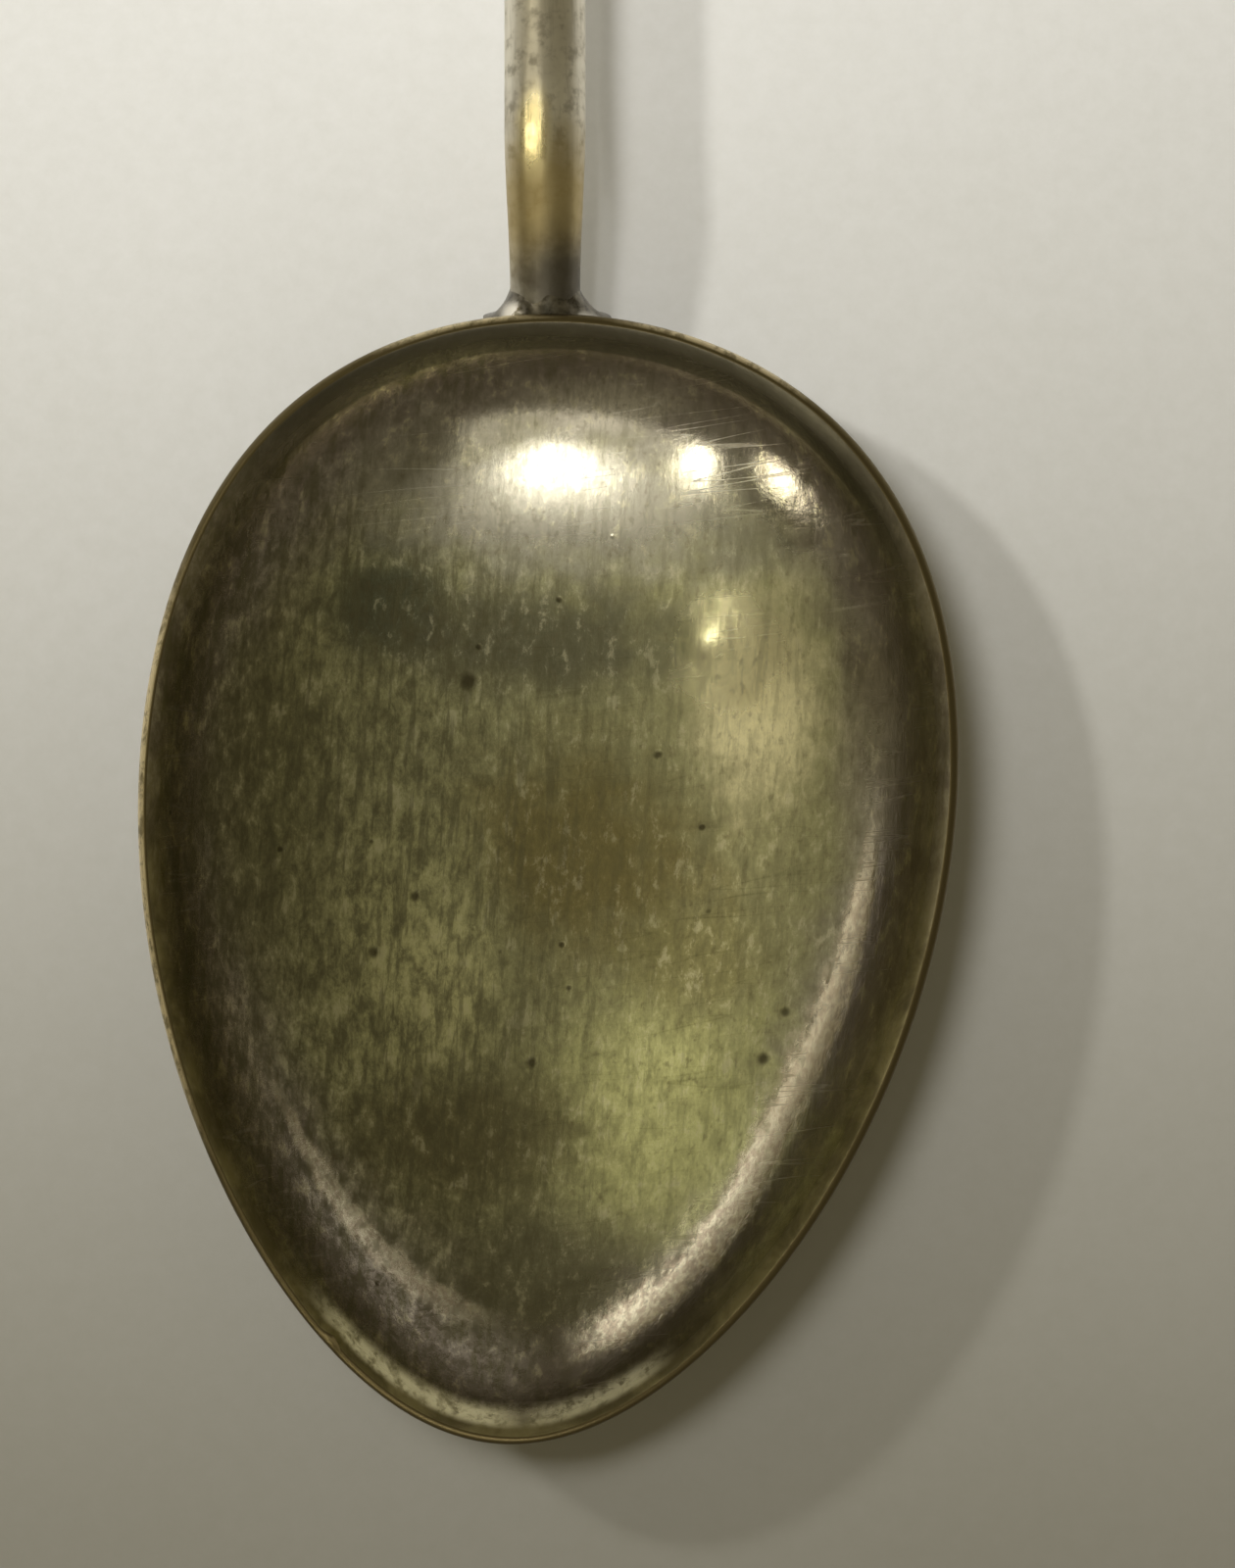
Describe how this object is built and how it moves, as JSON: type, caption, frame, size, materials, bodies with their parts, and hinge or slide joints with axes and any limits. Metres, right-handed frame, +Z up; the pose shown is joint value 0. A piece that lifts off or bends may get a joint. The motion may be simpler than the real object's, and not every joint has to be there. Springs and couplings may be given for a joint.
{
  "type": "souvenir spoon",
  "caption": "Small lying spoon: egg-shaped worn plated bowl soldered to an arched stem with a twisted middle, ending in a pad with an enamelled round medallion.",
  "frame": {"origin": "middle of the whole spoon's box at the table it lies on, under the handle", "axes": "+Y along the handle from the bowl to the medallion, +Z up with the bowl's hollow upwards, +X to the right"},
  "size_m": [0.026, 0.112, 0.0075],
  "materials": {
    "bowl_plate": "worn and tarnished silver plate on brass",
    "stem_plate": "worn silver plate on brass, brassy at the neck",
    "solder": "dull grey solder",
    "medal_plate": "worn silver plate on brass",
    "enamel_sky": "glossy vitreous enamel",
    "enamel_sun": "glossy vitreous enamel",
    "enamel_mountain": "glossy vitreous enamel",
    "enamel_snow": "glossy vitreous enamel",
    "enamel_hill": "glossy vitreous enamel",
    "enamel_lake": "glossy vitreous enamel"
  },
  "bodies": {
    "root": {"bowl": "bowl_plate", "stem": "stem_plate", "heel_solder": "solder", "medallion": "medal_plate", "medallion_solder": "solder", "enamel_sky": "enamel_sky", "enamel_sun": "enamel_sun", "enamel_mountain": "enamel_mountain", "enamel_snow": "enamel_snow", "enamel_hill": "enamel_hill", "enamel_lake": "enamel_lake"}
  },
  "joints": []
}
